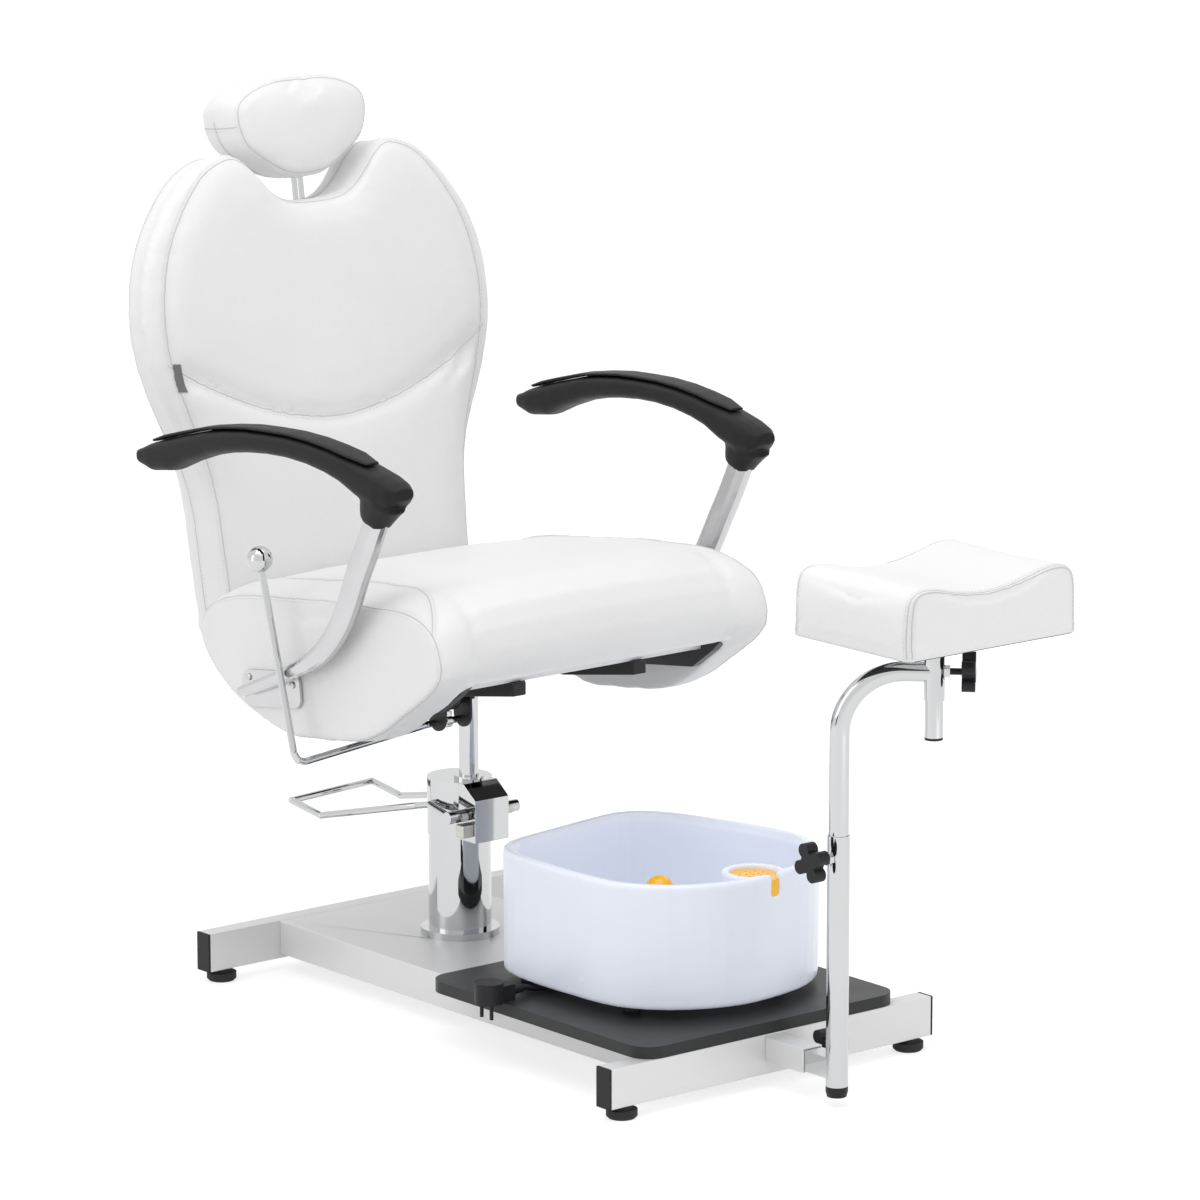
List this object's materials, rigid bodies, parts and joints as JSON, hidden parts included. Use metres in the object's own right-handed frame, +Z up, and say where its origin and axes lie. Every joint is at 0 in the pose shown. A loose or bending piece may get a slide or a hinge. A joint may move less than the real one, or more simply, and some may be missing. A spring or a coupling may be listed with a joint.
{
  "type": "pedicure_chair",
  "caption": "Reclining pedicure chair with white padded seat, chrome armrests, hydraulic lift, adjustable leg rest and a foot spa basin on a steel base",
  "frame": {"origin": "on the floor under the centre of the whole chair's bounding box", "axes": "X to the sitter's left, Y from the leg rest to the backrest, Z up"},
  "size_m": [0.6534, 1.3099, 1.1322],
  "materials": {
    "leather": "soft satin grain",
    "black_vinyl": "smooth satin",
    "chrome": "polished",
    "satin_chrome": "satin plated",
    "silver_paint": "fine satin metallic",
    "black_paint": "semi gloss",
    "steel": "zinc plated",
    "rubber": "matt",
    "black_plastic": "fine grain",
    "arm_pad": "soft skinned foam",
    "board": "plain plywood",
    "black_board": "painted",
    "basin_white": "polished",
    "orange": "polished"
  },
  "bodies": {
    "base": {"rear_cross_tube": "silver_paint", "front_cross_tube": "silver_paint", "tube_end_caps": "black_plastic", "rubber_feet": "rubber", "base_platform": "silver_paint", "footrest_receiver": "silver_paint", "pump_flange": "chrome", "base_bolts": "steel", "pump_cylinder": "chrome", "pump_head": "chrome", "pump_housing": "chrome", "pedal_stop": "steel", "spa_board": "black_board", "basin_tub": "basin_white", "basin_base": "basin_white", "basin_feet": "rubber", "cord_gland": "black_plastic", "power_cord": "black_plastic", "cord_coil": "black_plastic", "mains_plug": "black_plastic"},
    "lift": {"piston_rod": "chrome"},
    "seat": {"seat_mount_channel": "black_paint", "mount_bolts": "steel", "seat_frame": "black_paint", "seat_board": "black_board", "seat_cushion": "leather", "side_bolsters": "leather", "bolster_panels": "black_vinyl", "armrest_frames": "satin_chrome", "armrest_screws": "steel", "armpad_bases": "black_plastic", "armpad_tops": "arm_pad", "recline_bracket": "black_paint", "hinge_bolts": "steel"},
    "lever": {"recline_lever": "chrome"},
    "strut_body": {"strut_cylinder": "black_paint"},
    "strut_piston": {"strut_rod": "chrome"},
    "back": {"backrest_arms": "black_paint", "backrest_cushion": "leather", "backrest_board": "board", "backrest_rear_cover": "leather", "headrest_guide": "black_plastic"},
    "headrest": {"headrest_bar": "chrome", "headrest_cushion": "leather"},
    "pedal": {"pump_pedal": "chrome", "pedal_bolts": "steel"},
    "leg_bar": {"footrest_bar": "chrome", "footrest_post": "chrome", "post_foot_cap": "black_plastic"},
    "leg_lift": {"post_plug": "black_plastic"},
    "leg_arm": {"footrest_arm": "chrome"},
    "pad_lift": {"stem_plug": "black_plastic"},
    "pad": {"pad_stem": "chrome", "pad_board": "black_board", "pad_cushion": "leather"},
    "post_knob": {"post_knob": "black_plastic"},
    "sleeve_knob": {"sleeve_knob": "black_plastic"},
    "bar_knob": {"bar_knob": "black_plastic"},
    "massage_head": {"massage_head": "orange"},
    "aroma_lid": {"aroma_lid": "orange"}
  },
  "joints": [
    {"name": "height_lift", "type": "slide", "parent": "base", "child": "lift", "axis": [0, 0, 1], "range_m": [-0.085, 0.035]},
    {"name": "seat_swivel", "type": "hinge", "parent": "lift", "child": "seat", "pos_m": [0, 0.226, 0.404], "axis": [0, 0, 1], "continuous": true},
    {"name": "recline", "type": "hinge", "parent": "seat", "child": "back", "pos_m": [0, 0.47693, 0.40766], "axis": [1, 0, 0], "range_deg": [-45, 0]},
    {"name": "headrest_slide", "type": "slide", "parent": "back", "child": "headrest", "axis": [0, 0.1478, 0.989], "range_m": [-0.008, 0.07]},
    {"name": "lever_pull", "type": "hinge", "parent": "seat", "child": "lever", "pos_m": [-0.0635, 0.19, 0.361], "axis": [-1, 0, 0], "range_deg": [0, 12], "stiffness_Nm_per_rad": 6, "springref_deg": -6.88},
    {"name": "strut_swing", "type": "hinge", "parent": "seat", "child": "strut_body", "pos_m": [-0.0635, 0.1825, 0.389], "axis": [-1, 0, 0], "range_deg": [0, 1.5]},
    {"name": "strut_slide", "type": "slide", "parent": "strut_body", "child": "strut_piston", "axis": [0, 0.9948, -0.1014], "range_m": [-0.0425, 0]},
    {"name": "pedal_press", "type": "hinge", "parent": "base", "child": "pedal", "pos_m": [0, 0.2, 0.232], "axis": [1, 0, 0], "range_deg": [-20, 0], "stiffness_Nm_per_rad": 12, "springref_deg": 20.05},
    {"name": "bar_slide", "type": "slide", "parent": "base", "child": "leg_bar", "axis": [0, -1, 0], "range_m": [-0.025, 0.07]},
    {"name": "arm_height", "type": "slide", "parent": "leg_bar", "child": "leg_lift", "axis": [0, 0, 1], "range_m": [-0.075, 0.14]},
    {"name": "arm_swing", "type": "hinge", "parent": "leg_lift", "child": "leg_arm", "pos_m": [0, -0.479, 0.533], "axis": [0, 0, 1], "continuous": true},
    {"name": "stem_height", "type": "slide", "parent": "leg_arm", "child": "pad_lift", "axis": [0, 0, 1], "range_m": [0, 0.04]},
    {"name": "pad_turn", "type": "hinge", "parent": "pad_lift", "child": "pad", "pos_m": [0.07849, -0.55749, 0.56], "axis": [0, 0, 1], "continuous": true},
    {"name": "post_knob_turn", "type": "hinge", "parent": "leg_bar", "child": "post_knob", "pos_m": [0, -0.479, 0.306], "axis": [1, 0, 0], "continuous": true},
    {"name": "sleeve_knob_turn", "type": "hinge", "parent": "leg_arm", "child": "sleeve_knob", "pos_m": [0.07849, -0.55749, 0.534], "axis": [0.7071, -0.7071, 0], "continuous": true},
    {"name": "bar_knob_turn", "type": "hinge", "parent": "base", "child": "bar_knob", "pos_m": [0, -0.4115, 0.048], "axis": [1, 0, 0], "continuous": true},
    {"name": "massage_spin", "type": "hinge", "parent": "base", "child": "massage_head", "pos_m": [0.016, -0.131, 0.15], "axis": [0, 0, 1], "continuous": true},
    {"name": "lid_lift", "type": "slide", "parent": "base", "child": "aroma_lid", "axis": [0, 0, 1], "range_m": [0, 0.03]}
  ],
  "couplings": [
    {"joint": "strut_swing", "follows": "recline", "ratio": -0.0312},
    {"joint": "strut_slide", "follows": "recline", "m_per_rad": 0.0533}
  ]
}
